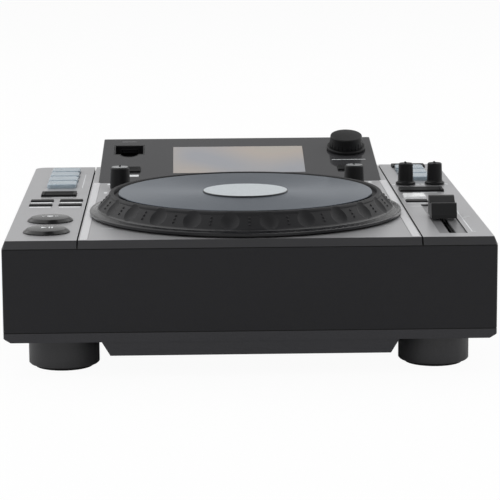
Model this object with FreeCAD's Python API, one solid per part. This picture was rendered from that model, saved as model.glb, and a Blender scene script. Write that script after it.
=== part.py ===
import FreeCAD
import Part
import math
import os
from collections import namedtuple
from FreeCAD import Placement, Rotation, Vector

# A tabletop disc-jockey player, in millimetres. X runs to the right, Y to the rear and Z up.
# The ground is Z = 0, and the middle of the whole outline is X = Y = 0.

# The case
width = 320.0
depth = 345.0
jack_reach = 8.0
wall = 2.5
front_corner = 1.5
rear_corner = 9.0
seam_step = 0.4
seam_height = 0.6
tongue_height = 2.0
tongue_wall = 1.2

# Heights, stacked from the ground
sole_show = 2.0
foot_height = 21.3
pan_height = 6.8
shell_height = 54.7
cover_height = 4.8
hood_rise = 22.5

# The pan and the shallow tub between the feet
pan_chamfer_run = 4.7
pan_chamfer_rise = 2.8
tub_drop = 9.1
tub_half_top = 96.6
tub_half_bottom = 91.1
tub_front_gap = 0.4
tub_rear_gap = 12.0

# The feet
foot_radius = 23.4
foot_chamfer = 0.8
foot_across = 122.9
foot_from_end = 40.0
sole_radius = 19.5
sole_seat = 1.0
foot_screw_pocket = 5.0
foot_boss_radius = 5.0
foot_boss_height = 9.0

# The cover: three pieces with bevelled edges, parted by two grooves
cover_plate = 3.0
cover_rim = 5.0
bevel_front = 4.3
bevel_side = 1.9
bevel_rear = 0.8
groove_at = 111.4
groove_width = 1.0
groove_rim = 1.5
rail_width = 4.0
rail_height = 6.0
trim_inner = 105.0
trim_outer = 110.0
trim_proud = 0.3
trim_seat = 0.6
fit_gap = 0.1

# The display hood
hood_foot_from_front = 256.4
hood_run = 86.1
hood_half_foot = 106.6
hood_half_top = 104.3
hood_rear_draft = 1.1
hood_edge_round = 0.8
hood_well_half = 98.0
hood_well_start = 11.6
hood_well_length = 68.0

# The display, measured up the slope from the hood's foot
window_half = 50.4
window_start = 18.3
window_end = 71.0
glass_gap = 0.15
glass_flange = 2.0
glass_flange_height = 1.0
module_half = 56.0
module_margin = 5.0
module_thick = 5.0
module_bezel = 1.5
module_post_radius = 3.0

# The memory-stick recess
stick_left = -95.0
stick_right = -73.6
stick_start = 57.0
stick_end = 74.2
stick_depth = 10.0
stick_wall = 1.2
notch_radius = 7.0
notch_at = 58.5
socket_width = 13.1
socket_height = 5.7
socket_length = 10.0
socket_shell = 0.4
socket_above_floor = 1.2
tongue_plate = 1.8

# The browse knob, its push travel and its encoder
browse_across = 84.2
browse_at = 64.3
browse_flange_radius = 15.0
browse_flange_height = 1.6
browse_radius = 13.0
browse_top_radius = 12.3
browse_height = 11.5
browse_dome = 0.8
browse_lift = 1.1
browse_grips = 24
browse_grip_radius = 0.7
plunger_radius = 3.5
plunger_height = 9.0
browse_travel = 0.6
encoder_side = 13.0

# The deck knobs and the two small knobs of the right strip
knob_lift = 0.4
shaft_radius = 3.0
bushing_wall = 1.0
pot_side = 12.0
running_gap = 0.05
deck_knob_left_x = -89.5
deck_knob_right_x = 84.2
deck_knob_from_front = 232.0
deck_knob_radius = 7.5
deck_knob_top_radius = 7.0
deck_knob_height = 15.5
small_knob_radius = 5.7
small_knob_top_radius = 5.3
small_knob_flange = 7.3
small_knob_height = 16.0
small_knobs_from_front = 236.0
start_knob_x = 122.9
stop_knob_x = 144.5
pointer_width = 1.2
pointer_height = 0.6

# The jog wheel. Heights are above the deck
wheel_from_front = 112.5
wheel_gap = 1.2
flange_radius = 107.3
flange_top = 3.4
cone_foot_radius = 101.0
cone_foot_height = 5.6
cone_top_radius = 94.2
cone_top_height = 13.1
crest_radius = 91.8
crest_height = 15.2
ring_bore = 90.2
web_top = 12.6
web_thick = 2.0
cone_wall = 4.6
dimples = 24
dimple_radius = 12.5
dimple_depth = 1.8
web_ribs = 12
web_rib_height = 4.0
web_rib_thick = 1.6
platter_radius = 87.5
platter_top = 14.9
label_radius = 29.2
label_proud = 0.8
label_gap = 0.15

# The jog bearing, its housing and the slotted encoder disc
bearing_bore = 8.0
bearing_outer = 22.0
bearing_width = 7.0
bearing_spread = 16.0
bearing_gap = 0.03
housing_wall = 3.5
housing_flange = 24.0
housing_flange_thick = 3.0
housing_proud = 1.4
spindle_flange = 18.0
spindle_flange_thick = 3.0
spindle_shoulder = 5.5
pilot_radius = 6.0
disc_radius = 18.0
disc_thick = 0.8
disc_slots = 24
disc_hub_radius = 6.0
disc_hub_height = 4.0
sensor_width = 8.0
sensor_gap = 2.8
sensor_reach = 2.8

# Keys. They hang by a flange under the cover and press switches on a board
key_gap = 0.25
key_flange = 0.75
key_flange_thick = 1.0
key_travel = 0.8
pad_travel = 1.0
button_travel = 1.2
pad_proud = 3.0
pad_corner = 3.5
pad_round = 0.8
small_key_proud = 0.9
long_key_proud = 1.6
white_key_proud = 2.0
key_corner = 0.8
key_chamfer = 0.3
dish_radius = 22.0
dish_rim = 2.2
board_drop = 6.6
board_thick = 1.6
switch_side = 6.0
post_radius = 2.5

# The two round buttons
button_x = -133.1
cue_from_front = 85.0
play_from_front = 38.5
button_radius = 15.3
button_top_radius = 13.3
button_height = 2.5
button_dome = 0.5
button_step = 0.7

# The pitch fader
fader_x = 133.4
fader_plate_half = 9.2
fader_plate_front = 18.0
fader_plate_rear = 139.0
fader_plate_thick = 1.2
fader_recess = 1.0
fader_ledge = 1.5
fader_slot_width = 4.5
fader_slot_margin = 2.5
fader_at = 85.0
fader_cap_half = 8.6
fader_cap_length = 24.0
fader_cap_low = 10.6
fader_cap_valley = 9.2
fader_cap_high = 13.5
fader_cap_lift = 0.6
fader_cap_wall = 1.6
fader_stem_width = 1.2
fader_stem_length = 5.0
fader_body_half = 4.5
fader_body_height = 8.0
fader_body_wall = 0.8
fader_shoe_half = 2.8
fader_shoe_length = 12.0
fader_shoe_height = 4.0

# The rear panel and its connectors
panel_half = 144.0
panel_bottom = 33.0
panel_top = 78.4
panel_thick = 1.2
panel_frame = 3.0
connector_z = 55.0
inlet_x = -105.0
inlet_width = 50.0
inlet_height = 28.0
inlet_flange_thick = 2.3
inlet_depth = 22.0
mains_x = -12.0
mains_width = 24.0
mains_height = 16.6
mains_depth = 16.0
rocker_x = 15.0
rocker_width = 11.6
rocker_length = 18.0
rocker_well_gap = 0.8
rocker_well_depth = 9.0
rocker_pin = 1.0
audio_at = (62.0, 82.0, 106.0)
jack_radius = 4.15
jack_bore = 1.6
jack_bore_depth = 9.0
jack_block = 11.0
jack_block_depth = 12.0
square_port_x = 8.0
square_port_width = 12.0
square_port_height = 11.0
link_port_x = 33.0
link_port_width = 16.0
link_port_height = 13.5
port_depth = 16.0
port_wall = 1.7

# The boards inside the tub, and the screws
board_half = 86.0
board_front = 60.0
board_rear = 230.0
standoff_height = 12.0
standoff_radius = 3.5
supply_front = 245.0
supply_rear = 322.0
supply_left = -84.0
supply_right = 20.0
screw_radius = 1.5
screw_head = 3.2
screw_head_height = 1.6
screw_reach = 14.0
boss_radius = 5.0
boss_height = 24.0
screw_across = 152.4
screw_rows = (14.0, 120.0, 225.0, 331.0)
boss_lift = 1.0

# Levels and places that follow
half = width / 2
front = -(depth + jack_reach) / 2
rear = front + depth
pan_z = sole_show + foot_height
tub_z = pan_z - tub_drop
seam_z = pan_z + pan_height
lip_z = seam_z + shell_height
deck_z = lip_z + cover_height
plate_z = deck_z - cover_plate
board_z = plate_z - board_drop
wheel_y = front + wheel_from_front
hood_foot = front + hood_foot_from_front
hood_slope = math.degrees(math.atan2(hood_rise, hood_run))
hood_length = math.hypot(hood_rise, hood_run)
web_low = web_top - web_thick
key_step = key_gap + key_flange
hood_place = Placement(Vector(0, hood_foot, deck_z), Rotation(Vector(1, 0, 0), hood_slope))
panel_y = rear - wall

Key = namedtuple("Key", "left right front rear")

pads_left = [Key(-143.7, -122.2, d, d + 20.0) for d in (232.0, 255.0, 278.5, 302.0)]
pads_right = [Key(122.3, 143.8, d, d + 20.0) for d in (255.0, 278.5, 302.0)]
small_keys = [
    Key(x, x + 16.2, d, d + 7.2) for d in (147.6, 167.4) for x in (-151.6, -130.8)
]
left_wide = Key(-145.7, -120.4, 191.6, 208.6)
right_rear = Key(121.2, 146.8, 324.6, 338.2)
right_wide = Key(115.6, 147.4, 198.2, 214.2)
right_white = Key(115.2, 130.6, 163.8, 179.4)
right_small = Key(115.2, 130.6, 149.6, 158.0)
hood_left = Key(-91.6, -75.2, 20.6, 29.6)
hood_right = Key(75.2, 91.6, 20.6, 29.6)


def box(x0, x1, y0, y1, z0, z1):
    return Part.makeBox(x1 - x0, y1 - y0, z1 - z0, Vector(x0, y0, z0))


def rod(x, y, z0, z1, radius):
    return Part.makeCylinder(radius, z1 - z0, Vector(x, y, z0))


def rod_y(x, z, y0, y1, radius):
    return Part.makeCylinder(radius, y1 - y0, Vector(x, y0, z), Vector(0, 1, 0))


def block_y(x, z, wide, high, y0, y1):
    return box(x - wide / 2, x + wide / 2, y0, y1, z - high / 2, z + high / 2)


def fused(first, *rest):
    return first.fuse(list(rest)).removeSplitter() if rest else first


def without(shape, *tools):
    return shape.cut(list(tools)) if tools else shape


def mirrored(shape):
    return shape.mirror(Vector(0, 0, 0), Vector(1, 0, 0))


def on_hood(shape):
    placed = shape.copy()
    placed.Placement = hood_place.multiply(shape.Placement)
    return placed


def rounded_outline(x0, x1, y0, y1, z, radii):
    """A rectangle with its own radius at the front left, front right, rear right and rear left."""
    corners = [Vector(x0, y0, z), Vector(x1, y0, z), Vector(x1, y1, z), Vector(x0, y1, z)]
    starts, ends, edges = [], [], []
    for i, corner in enumerate(corners):
        back = (corners[i - 1] - corner).normalize()
        on = (corners[(i + 1) % 4] - corner).normalize()
        radius = max(radii[i], 0.0)
        starts.append(corner + back * radius)
        ends.append(corner + on * radius)
    for i, corner in enumerate(corners):
        if radii[i] > 0:
            centre = starts[i] + ends[i] - corner
            middle = centre + (corner - centre).normalize() * radii[i]
            edges.append(Part.Arc(starts[i], middle, ends[i]).toShape())
        edges.append(Part.LineSegment(ends[i], starts[(i + 1) % 4]).toShape())
    return Part.Wire(edges)


def rounded_block(x0, x1, y0, y1, z0, z1, radius):
    face = Part.Face(rounded_outline(x0, x1, y0, y1, z0, (radius,) * 4))
    return face.extrude(Vector(0, 0, z1 - z0))


def turned(steps, x=0.0, y=0.0):
    """A solid of revolution. A step is (r, z), or (r, z, r_mid, z_mid) for an arc that ends at (r, z)."""
    here = Vector(steps[0][0], 0, steps[0][1])
    edges = []
    for step in list(steps[1:]) + [steps[0][:2]]:
        there = Vector(step[0], 0, step[1])
        if len(step) == 4:
            edges.append(Part.Arc(here, Vector(step[2], 0, step[3]), there).toShape())
        else:
            edges.append(Part.LineSegment(here, there).toShape())
        here = there
    solid = Part.Face(Part.Wire(edges)).revolve(Vector(0, 0, 0), Vector(0, 0, 1), 360)
    solid.translate(Vector(x, y, 0))
    return solid


def dome_step(radius, low, rise):
    """The step of a turned profile that runs from (radius, low) to the top of a shallow dome."""
    sphere = (radius ** 2 + rise ** 2) / (2 * rise)
    middle = low + rise - sphere + math.sqrt(sphere ** 2 - (radius / 2) ** 2)
    return (0.0, low + rise, radius / 2, middle)


def extruded_x(points, x0, x1):
    """A side profile of (y, z) points, extruded from x0 to x1."""
    corners = [Vector(x0, y, z) for y, z in points]
    return Part.Face(Part.makePolygon(corners + corners[:1])).extrude(Vector(x1 - x0, 0, 0))


def extruded_y(points, y0, y1):
    """A front profile of (x, z) points, extruded from y0 to y1."""
    corners = [Vector(x, y0, z) for x, z in points]
    return Part.Face(Part.makePolygon(corners + corners[:1])).extrude(Vector(0, y1 - y0, 0))


def edges_at(shape, z):
    return [
        e for e in shape.Edges
        if abs(e.BoundBox.ZMin - z) < 1e-6 and abs(e.BoundBox.ZMax - z) < 1e-6
    ]


def around(centre_x, centre_y, count, first=0.0):
    """Placements that turn a shape about a vertical axis, count times round."""
    for i in range(count):
        angle = first + 360.0 * i / count
        yield Placement(
            Vector(0, 0, 0), Rotation(Vector(0, 0, 1), angle), Vector(centre_x, centre_y, 0)
        )


def repeated(shape, placements):
    copies = []
    for place in placements:
        one = shape.copy()
        one.Placement = place.multiply(shape.Placement)
        copies.append(one)
    return copies


# The case


def plan_block(inset, z0, z1):
    near = max(front_corner - inset, 0.0)
    far = max(rear_corner - inset, 0.0)
    outline = rounded_outline(
        -half + inset, half - inset, front + inset, rear - inset, z0, (near, near, far, far)
    )
    return Part.Face(outline).extrude(Vector(0, 0, z1 - z0))


def screw_places():
    return [(side * screw_across, front + row) for side in (-1, 1) for row in screw_rows]


def foot_places():
    return [(x, y) for x in (-foot_across, foot_across)
            for y in (front + foot_from_end, rear - foot_from_end)]


def tub_section(inset):
    """The tub's front profile, with its slanted sides moved in by inset."""
    slant = (tub_half_top - tub_half_bottom) / tub_drop
    shift = inset * math.hypot(1.0, slant)
    low = tub_z + inset
    high = pan_z + inset
    x_low = tub_half_bottom + slant * inset - shift
    x_high = tub_half_top + slant * inset - shift
    return [(-x_high, high), (-x_low, low), (x_low, low), (x_high, high)]


def pan_section(inset):
    """The pan's front profile with its chamfered lower sides, up to above the seam."""
    slant = pan_chamfer_run / pan_chamfer_rise
    shift = inset * (math.hypot(1.0, slant) - 1.0) / slant
    side = half - inset
    low = pan_z + inset
    corner_x = half - pan_chamfer_run - inset * (math.hypot(1.0, slant) - slant)
    corner_z = pan_z + pan_chamfer_rise + shift
    high = seam_z + tongue_height + 1.0
    return [(-side, high), (-side, corner_z), (-corner_x, low),
            (corner_x, low), (side, corner_z), (side, high)]


def bottom_pan():
    outer = extruded_y(pan_section(0.0), front, rear)
    body = outer.common(fused(
        plan_block(0.0, pan_z, seam_z - seam_height),
        plan_block(seam_step, seam_z - seam_height, seam_z),
    ))
    tongue_out = wall + fit_gap
    tongue = plan_block(tongue_out, pan_z, seam_z + tongue_height)
    tub_front = front + tub_front_gap
    tub_rear = rear - tub_rear_gap
    tub = extruded_y(tub_section(0.0), tub_front, tub_rear)
    # The fusion of body and tongue is hollowed by the inner profile
    solid = fused(body, tongue.common(extruded_y(pan_section(0.3), front, rear)), tub)
    hollow = extruded_y(pan_section(wall), front, rear).common(
        plan_block(tongue_out + tongue_wall, pan_z, seam_z + tongue_height + 1.0)
    )
    tub_hollow = extruded_y(tub_section(wall), tub_front + wall, tub_rear - wall)
    solid = without(solid, hollow, tub_hollow)
    floor = pan_z + wall
    bosses = [rod(x, y, floor - 0.5, pan_z + foot_boss_height, foot_boss_radius)
              for x, y in foot_places()]
    stands = [rod(x, y, tub_z + wall - 0.5, tub_z + wall + standoff_height, standoff_radius)
              for x, y in board_places() + supply_places()]
    solid = fused(solid, *bosses, *stands)
    holes = [rod(x, y, pan_z - 1.0, pan_z + foot_boss_height - 1.0, screw_radius + fit_gap)
             for x, y in foot_places()]
    holes += [rod(x, y, pan_z - 1.0, floor + 1.0, screw_radius + fit_gap)
              for x, y in screw_places()]
    return without(solid, *holes)


def board_places():
    edge = standoff_radius + 2.0
    return [(x, y) for x in (-board_half + edge, board_half - edge)
            for y in (front + board_front + edge, front + board_rear - edge)]


def supply_places():
    edge = standoff_radius + 2.0
    return [(x, y) for x in (supply_left + edge, supply_right - edge)
            for y in (front + supply_front + edge, front + supply_rear - edge)]


def body_shell():
    outer = fused(
        plan_block(0.0, seam_z, lip_z - seam_height),
        plan_block(seam_step, lip_z - seam_height, lip_z),
    )
    solid = without(outer, plan_block(wall, seam_z - 1.0, lip_z + 1.0))
    parts = []
    for side in (-1, 1):
        x = side * groove_at
        parts.append(box(x - rail_width / 2, x + rail_width / 2, front + wall - 0.5,
                         rear - wall + 0.5, lip_z - rail_height, lip_z))
    floor = pan_z + wall + boss_lift
    inner = half - wall
    for x, y in screw_places():
        boss = rod(x, y, floor, floor + boss_height, boss_radius)
        web = box(min(x, math.copysign(inner + 0.5, x)), max(x, math.copysign(inner + 0.5, x)),
                  y - 1.5, y + 1.5, seam_z + tongue_height + 1.0, floor + boss_height)
        trim = box(-inner + tongue_wall + 2 * fit_gap, inner - tongue_wall - 2 * fit_gap,
                   front, rear, pan_z, seam_z + tongue_height + fit_gap)
        low = boss.common(trim)
        high = boss.common(plan_block(wall - 0.5, seam_z + tongue_height + fit_gap, lip_z))
        parts += [fused(low, high), web]
    solid = fused(solid, *parts)
    opening = box(-panel_half + panel_frame, panel_half - panel_frame, rear - wall - 1.0,
                  rear + 1.0, panel_bottom + panel_frame, panel_top - panel_frame)
    holes = [rod(x, y, floor - 1.0, floor + screw_reach, screw_radius + fit_gap)
             for x, y in screw_places()]
    return without(solid, opening, *holes)


def cover_blank():
    """The whole cover before it is parted: a flat top with bevelled edges."""
    def outline(front_in, side_in, rear_in, z):
        near = max(front_corner - side_in, 0.3)
        far = rear_corner - rear_in
        return rounded_outline(-half + side_in, half - side_in, front + front_in,
                               rear - rear_in, z, (near, near, far, far))
    return Part.makeLoft([
        outline(0.0, 0.0, 0.0, lip_z),
        outline(bevel_front, bevel_side, bevel_rear, deck_z),
    ], True, True)


def cover_piece(x0, x1, rim0, rim1):
    """One piece of the cover between x0 and x1, hollow below inside its rims."""
    blank = cover_blank().common(box(x0, x1, front - 1, rear + 1, lip_z - 1, deck_z + 1))
    hollow = box(max(x0, -half) + rim0, min(x1, half) - rim1, front + cover_rim + 1.0,
                 rear - cover_rim, lip_z - 1.0, plate_z)
    return without(blank, hollow)


def key_hole(key):
    return rounded_block(key.left - key_gap, key.right + key_gap, front + key.front - key_gap,
                         front + key.rear + key_gap, lip_z - 1, deck_z + 1, key_gap + key_corner)


def pad_hole(key):
    return rounded_block(key.left - key_gap, key.right + key_gap, front + key.front - key_gap,
                         front + key.rear + key_gap, lip_z - 1, deck_z + 1, key_gap + pad_corner)


def posts(places):
    """Posts under the cover that carry a board."""
    return [rod(x, front + d, board_z, plate_z + 0.5, post_radius) for x, d in places]


left_posts = ((-151.0, 18.0), (-120.0, 112.0), (-151.0, 220.0), (-151.0, 330.0), (-120.0, 330.0))
right_posts = ((151.0, 160.0), (151.2, 248.0), (151.2, 331.0), (120.0, 188.5))


def left_control_panel():
    solid = cover_piece(-half - 1, -groove_at - groove_width / 2, cover_rim, groove_rim)
    holes = [pad_hole(k) for k in pads_left]
    holes += [key_hole(k) for k in small_keys + [left_wide]]
    holes += [rod(button_x, front + d, lip_z - 1, deck_z + 1, button_radius + key_gap)
              for d in (cue_from_front, play_from_front)]
    return without(fused(solid, *posts(left_posts)), *holes)


def right_control_panel():
    solid = cover_piece(groove_at + groove_width / 2, half + 1, groove_rim, cover_rim)
    holes = [pad_hole(k) for k in pads_right]
    holes += [key_hole(k) for k in (right_rear, right_wide, right_white, right_small)]
    holes += [rod(x, front + small_knobs_from_front, lip_z - 1, deck_z + 1, bushing_hole())
              for x in (start_knob_x, stop_knob_x)]
    plate_top = deck_z - fader_recess
    seat = plate_top - fader_plate_thick
    holes.append(box(fader_x - fader_plate_half, fader_x + fader_plate_half,
                     front + fader_plate_front, front + fader_plate_rear, seat, deck_z + 1))
    inner = fader_plate_half - fader_ledge
    holes.append(box(fader_x - inner, fader_x + inner, front + fader_plate_front + fader_ledge,
                     front + fader_plate_rear - fader_ledge, lip_z - 1, deck_z))
    return without(fused(solid, *posts(right_posts)), *holes)


def bushing_hole():
    return shaft_radius + running_gap + bushing_wall + fit_gap


def centre_deck():
    edge = groove_at - groove_width / 2
    solid = cover_piece(-edge, edge, groove_rim, groove_rim)
    holes = [rod(0, wheel_y, lip_z - 1, deck_z + 1, bearing_outer / 2 + housing_wall + fit_gap)]
    holes += [rod(x, front + deck_knob_from_front, lip_z - 1, deck_z + 1, bushing_hole())
              for x in (deck_knob_left_x, deck_knob_right_x)]
    well_y = hood_foot + hood_well_start
    holes.append(box(-hood_well_half, hood_well_half, well_y, well_y + hood_well_length,
                     lip_z - 1, deck_z + 1))
    holes += [strip.copy() for strip in trim_shapes(fit_gap)]
    return without(solid, *holes)


def trim_shapes(grow):
    """The two trim strips, or with grow the grooves that they lie in."""
    top = deck_z + trim_proud
    low = deck_z - trim_seat
    lead = front + bevel_front + 1.0
    strip = box(trim_inner - grow, trim_outer + grow, lead - grow,
                hood_foot + grow, low, top)
    return [strip, mirrored(strip)]


def deck_trim_strips():
    return Part.makeCompound(trim_shapes(0.0))


# The hood and what it carries. Its own frame has Y up the slope and Z out of the sloped face


def wedge(inset):
    """The hood's outer form, or with inset its hollow, open at the deck."""
    slope = math.radians(hood_slope)
    skin = inset / math.cos(slope)
    foot_y = hood_foot + inset / math.sin(slope) if inset else hood_foot
    below = 1.0 if inset else 0.0
    low = deck_z - below
    reach = below / math.tan(slope)
    top_y = hood_foot + hood_run - inset
    top_z = deck_z + (top_y - hood_foot) * math.tan(slope) - skin
    heel_y = hood_foot + hood_run + hood_rear_draft - inset
    lean = (hood_half_foot - hood_half_top) / hood_rise
    side_view = extruded_x([(foot_y - reach, low), (heel_y, low), (top_y, top_z)], -half, half)
    high = deck_z + hood_rise
    wide = hood_half_foot - inset + lean * (deck_z - low)
    narrow = hood_half_top - inset
    rear_view = extruded_y([(-wide, low), (wide, low), (narrow, high), (-narrow, high)],
                           foot_y - reach - 1.0, heel_y + 1.0)
    return side_view.common(rear_view)


def hood_key_hole(key):
    return rounded_block(key.left - key_gap, key.right + key_gap, key.front - key_gap,
                         key.rear + key_gap, -wall - 2, 2.0, key_gap + key_corner)


def stick_form(grow, low, high):
    """The memory-stick recess with its thumb notch, grown outwards."""
    x = (stick_left + stick_right) / 2
    return fused(
        box(stick_left - grow, stick_right + grow, stick_start - grow, stick_end + grow, low, high),
        rod(x, notch_at, low, high, notch_radius + grow),
    )


def hood_post_places():
    return [(-94.0, 16.0), (-66.0, 16.0), (-94.0, 42.0), (-66.0, 42.0),
            (94.0, 16.0), (66.0, 16.0), (94.0, 42.0), (66.0, 42.0)]


def module_post_places():
    y0, y1 = window_start - module_margin, window_end + module_margin
    inset = module_post_radius + 0.5
    return [(x, y) for x in (-module_half - inset, module_half + inset)
            for y in (y0 + inset, y1 - inset)]


def display_hood():
    solid = wedge(0.0)
    rounded = [e for e in solid.Edges if e.BoundBox.ZMax > deck_z + hood_rise - 0.01]
    solid = solid.makeFillet(hood_edge_round, rounded)
    solid = without(solid, wedge(wall))
    studs = [rod(x, y, -hood_board_depth(), -wall + 0.5, post_radius)
              for x, y in hood_post_places()]
    studs += [rod(x, y, -module_depth(), -wall + 0.5, module_post_radius)
              for x, y in module_post_places()]
    solid = fused(solid, *[on_hood(s) for s in studs])
    holes = [
        box(-window_half, window_half, window_start, window_end, -wall - 1, 2.0),
        stick_form(stick_wall + fit_gap, -stick_depth - stick_wall - 1, 2.0),
        rod(browse_across, browse_at, -wall - 1, 2.0, plunger_radius + bushing_wall
            + running_gap + fit_gap),
        hood_key_hole(hood_left),
        hood_key_hole(hood_right),
    ]
    return without(solid, *[on_hood(h) for h in holes])


def hood_board_depth():
    return wall + board_drop - 1.2


def module_depth():
    return wall + glass_flange_height + fit_gap


def display_glass():
    pane = box(-window_half + glass_gap, window_half - glass_gap, window_start + glass_gap,
               window_end - glass_gap, -wall, 0.0)
    flange = box(-window_half - glass_flange, window_half + glass_flange,
                 window_start - glass_flange, window_end + glass_flange,
                 -wall - glass_flange_height, -wall)
    return on_hood(fused(pane, flange))


def display_module():
    top = -module_depth()
    frame = box(-module_half, module_half, window_start - module_margin,
                window_end + module_margin, top - module_thick, top)
    ears = [box(x - module_post_radius, x + module_post_radius, y - module_post_radius,
                y + module_post_radius, top - 1.5, top) for x, y in module_post_places()]
    bridges = [box(min(x, math.copysign(module_half - 1, x)),
                   max(x, math.copysign(module_half - 1, x)), y - module_post_radius,
                   y + module_post_radius, top - 1.5, top) for x, y in module_post_places()]
    connector = box(-20.0, 20.0, window_start, window_start + 6.0, top - module_thick - 2.0,
                    top - module_thick)
    panel = box(-window_half - module_bezel, window_half + module_bezel,
                window_start - module_bezel, window_end + module_bezel, top - 0.6, top + 1.0)
    frame = without(frame, panel)
    return on_hood(fused(frame, connector, *ears, *bridges))


def usb_bezel():
    outer = stick_form(stick_wall, -stick_depth - stick_wall, 0.0)
    hollow = stick_form(0.0, -stick_depth, 1.0)
    x = (stick_left + stick_right) / 2
    window = box(x - socket_width / 2 - fit_gap, x + socket_width / 2 + fit_gap,
                 stick_end - 1.0, stick_end + stick_wall + 1.0,
                 socket_low() - fit_gap, socket_low() + socket_height + fit_gap)
    return on_hood(without(outer, hollow, window))


def socket_low():
    return -stick_depth + socket_above_floor


def usb_socket():
    x = (stick_left + stick_right) / 2
    low = socket_low()
    y0 = stick_end - 0.6
    y1 = y0 + socket_length
    can = box(x - socket_width / 2, x + socket_width / 2, y0, y1, low, low + socket_height)
    bore = box(x - socket_width / 2 + socket_shell, x + socket_width / 2 - socket_shell,
               y0 - 1.0, y1 - socket_shell, low + socket_shell, low + socket_height - socket_shell)
    plate = box(x - socket_width / 2 + 1.0, x + socket_width / 2 - 1.0, y0 + 0.5, y1,
                low + socket_height - socket_shell - 0.7 - tongue_plate,
                low + socket_height - socket_shell - 0.7)
    return on_hood(fused(without(can, bore), plate))


def browse_encoder():
    low = -hood_board_depth()
    side = encoder_side / 2
    bush = plunger_radius + running_gap + bushing_wall
    case = box(browse_across - side, browse_across + side, browse_at - side, browse_at + side,
               low, -wall)
    collar = rod(browse_across, browse_at, -wall - 1.0, 0.0, bush)
    bore = rod(browse_across, browse_at, low + 0.8, 1.0, plunger_radius + running_gap)
    return on_hood(without(fused(case, collar), bore))


def browse_plunger():
    low = -hood_board_depth() + 0.8 + browse_travel + 0.2
    return on_hood(rod(browse_across, browse_at, low, plunger_height, plunger_radius))


def browse_knob():
    lift = browse_lift
    bore = plunger_radius + running_gap
    edge = 1.0
    top = browse_height
    flange = lift + browse_flange_height
    body = turned([
        (bore, lift), (browse_flange_radius, lift),
        (browse_flange_radius, flange - 0.5), (browse_flange_radius - 0.5, flange),
        (browse_radius, flange), (browse_top_radius, top - edge),
        (browse_top_radius - edge, top, browse_top_radius - 0.3 * edge, top - 0.3 * edge),
        dome_step(browse_top_radius - edge, top, browse_dome),
        (0.0, plunger_height + 0.1), (bore, plunger_height + 0.1),
    ], browse_across, browse_at)
    groove = rod(browse_across + browse_radius + 0.2, browse_at, flange, top - edge,
                 browse_grip_radius)
    grooves = repeated(groove, around(browse_across, browse_at, browse_grips))
    return on_hood(without(body, *grooves))


# Knobs and potentiometers on the deck and the right strip


def pot(x, d):
    """A potentiometer under the cover. Its bushing comes up through it, and the shaft turns in it."""
    y = front + d
    side = pot_side / 2
    case = box(x - side, x + side, y - side, y + side, board_z, plate_z)
    bush = rod(x, y, plate_z - 1.0, deck_z, shaft_radius + running_gap + bushing_wall)
    bore = rod(x, y, board_z + 1.0, deck_z + 1.0, shaft_radius + running_gap)
    return without(fused(case, bush), bore)


def knob_potentiometers():
    return Part.makeCompound([
        pot(deck_knob_left_x, deck_knob_from_front), pot(deck_knob_right_x, deck_knob_from_front),
        pot(start_knob_x, small_knobs_from_front), pot(stop_knob_x, small_knobs_from_front),
    ])


def knob_shaft(x, y, top):
    return rod(x, y, board_z + 1.2, top, shaft_radius)


def deck_knob(x):
    y = front + deck_knob_from_front
    low = deck_z + knob_lift
    top = deck_z + deck_knob_height
    edge = 0.8
    body = turned([
        (0.0, low), (deck_knob_radius, low), (deck_knob_top_radius, top - edge),
        (deck_knob_top_radius - edge, top), (0.0, top),
    ], x, y)
    pointer = box(x - pointer_width / 2, x + pointer_width / 2, y,
                  y + deck_knob_top_radius - edge, top - 0.5, top + pointer_height)
    return fused(body, pointer, knob_shaft(x, y, low + 1.0))


def small_knob(x):
    y = front + small_knobs_from_front
    low = deck_z + knob_lift
    top = deck_z + small_knob_height
    edge = 0.6
    body = turned([
        (0.0, low), (small_knob_flange, low), (small_knob_flange, low + 1.2),
        (small_knob_radius + 0.3, low + 2.0), (small_knob_radius, low + 3.0),
        (small_knob_top_radius, top - edge), (small_knob_top_radius - edge, top), (0.0, top),
    ], x, y)
    pointer = box(x - pointer_width / 2, x + pointer_width / 2, y - 1.0,
                  y + small_knob_top_radius - edge, top - 0.5, top + pointer_height)
    return fused(body, pointer, knob_shaft(x, y, low + 1.0))


# The jog wheel: a dimpled grip ring on a ribbed web, with its platter, label disc and spindle


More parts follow.
